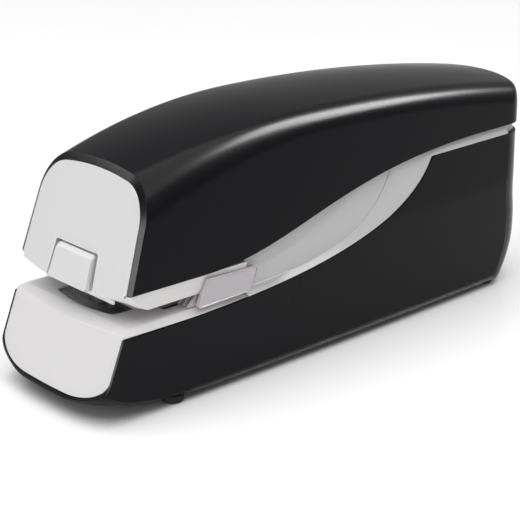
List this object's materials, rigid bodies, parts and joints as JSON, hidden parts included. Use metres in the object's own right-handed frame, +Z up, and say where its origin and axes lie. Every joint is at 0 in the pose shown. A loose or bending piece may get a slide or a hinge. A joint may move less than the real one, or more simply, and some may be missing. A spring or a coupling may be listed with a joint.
{
  "type": "electric stapler",
  "caption": "Electric desk stapler with a domed two-part casing, an open paper throat, a front-loading staple magazine, an adjustable paper stop and a geared motor drive.",
  "frame": {"origin": "on the table under the middle of the body", "axes": "+X from the nose to the back, +Y to the stapler's left side, +Z up"},
  "size_m": [0.2368, 0.0676, 0.0964],
  "materials": {
    "cover": "satin black moulded plastic",
    "front": "smooth off-white moulded plastic",
    "frame": "smooth off-white moulded plastic",
    "deck": "smooth off-white moulded plastic",
    "band": "smooth pale grey moulded plastic",
    "tab": "smooth off-white moulded plastic",
    "guide": "translucent lilac-grey plastic",
    "anvil": "dark pressed steel",
    "steel": "bright rolled steel",
    "staples": "zinc-plated wire",
    "natural": "natural acetal and nylon",
    "brass": "cut brass pinion on a steel shaft",
    "motor": "plated steel can",
    "dark": "black moulded plastic",
    "contact": "nickel-plated steel",
    "cell": "printed metal sleeve",
    "board": "green circuit board with parts",
    "switch": "red microswitch",
    "rubber": "black rubber"
  },
  "bodies": {
    "casing": {"upper_cover": "cover", "lower_cover": "cover", "front_panel": "front", "upper_frame": "frame", "base_deck": "deck", "side_panel_left": "band", "side_panel_right": "band", "anvil_plate": "anvil", "cam_axle": "steel", "gear_b_axle": "steel", "gear_a_axle": "steel", "motor_mount": "steel", "lever_pin": "steel", "lever_spring": "steel", "trigger_pin": "steel", "gearbox_plate_inner": "natural", "gearbox_plate_outer": "natural", "chassis": "natural", "motor": "motor", "battery_tray": "dark", "power_inlet": "dark", "contact_strip_front": "contact", "contact_strip_back": "contact", "inlet_pin": "contact", "base_screw_1": "contact", "base_screw_2": "contact", "base_screw_3": "contact", "base_screw_4": "contact", "battery_1": "cell", "battery_2": "cell", "battery_3": "cell", "battery_4": "cell", "battery_5": "cell", "battery_6": "cell", "circuit_board": "board", "trigger_switch": "switch", "foot_1": "rubber", "foot_2": "rubber", "foot_3": "rubber", "foot_4": "rubber"},
    "magazine": {"magazine_channel": "steel", "magazine_core": "steel", "magazine_front": "tab", "tab_pin": "steel", "staple_strip": "staples", "pusher_spring": "steel"},
    "tab": {"magazine_tab": "tab"},
    "pusher": {"staple_pusher": "natural"},
    "lever": {"drive_lever": "steel"},
    "blade": {"driver_blade": "steel"},
    "cam": {"cam_gear": "natural"},
    "gear_b": {"reduction_gear_b": "natural"},
    "gear_a": {"reduction_gear_a": "natural"},
    "rotor": {"motor_pinion": "brass"},
    "trigger": {"trigger_lever": "guide"},
    "stop": {"paper_stop": "guide"},
    "door": {"battery_door": "cover"}
  },
  "joints": [
    {"name": "magazine_slide", "type": "slide", "parent": "casing", "child": "magazine", "axis": [-1, 0, 0], "range_m": [0, 0.06]},
    {"name": "tab_press", "type": "hinge", "parent": "magazine", "child": "tab", "pos_m": [-0.0998, 0, 0.0436], "axis": [0, 1, 0], "range_deg": [0, 5], "stiffness_Nm_per_rad": 0.05, "springref_deg": -2.86},
    {"name": "pusher_slide", "type": "slide", "parent": "magazine", "child": "pusher", "axis": [1, 0, 0], "range_m": [0, 0.018], "stiffness_N_per_m": 40, "springref_m": -0.02, "deforming": ["pusher_spring"]},
    {"name": "lever_swing", "type": "hinge", "parent": "casing", "child": "lever", "pos_m": [-0.028, 0, 0.066], "axis": [0, 1, 0], "range_deg": [-8.1, 0], "stiffness_Nm_per_rad": 0.3, "springref_deg": 11.46},
    {"name": "blade_slide", "type": "slide", "parent": "casing", "child": "blade", "axis": [0, 0, 1], "range_m": [-0.0091, 0.0001]},
    {"name": "cam_spin", "type": "hinge", "parent": "casing", "child": "cam", "pos_m": [0.004, 0, 0.07], "axis": [0, 1, 0], "continuous": true},
    {"name": "gear_b_spin", "type": "hinge", "parent": "casing", "child": "gear_b", "pos_m": [0.0248, 0, 0.07], "axis": [0, 1, 0], "continuous": true},
    {"name": "gear_a_spin", "type": "hinge", "parent": "casing", "child": "gear_a", "pos_m": [0.0416, 0, 0.07], "axis": [0, 1, 0], "continuous": true},
    {"name": "motor_spin", "type": "hinge", "parent": "casing", "child": "rotor", "pos_m": [0.0584, 0, 0.07], "axis": [0, 1, 0], "continuous": true},
    {"name": "trigger_swing", "type": "hinge", "parent": "casing", "child": "trigger", "pos_m": [-0.07, 0.0165, 0.0446], "axis": [0, -1, 0], "range_deg": [0, 25], "stiffness_Nm_per_rad": 0.002, "springref_deg": -5.73},
    {"name": "stop_slide", "type": "slide", "parent": "casing", "child": "stop", "axis": [1, 0, 0], "range_m": [0, 0.01]},
    {"name": "door_slide", "type": "slide", "parent": "casing", "child": "door", "axis": [1, 0, 0], "range_m": [0, 0.0062]}
  ],
  "couplings": [
    {"joint": "blade_slide", "follows": "lever_swing", "m_per_rad": 0.064},
    {"joint": "gear_b_spin", "follows": "cam_spin", "ratio": -3.3333},
    {"joint": "gear_a_spin", "follows": "cam_spin", "ratio": 10.667},
    {"joint": "motor_spin", "follows": "cam_spin", "ratio": -34.133}
  ]
}
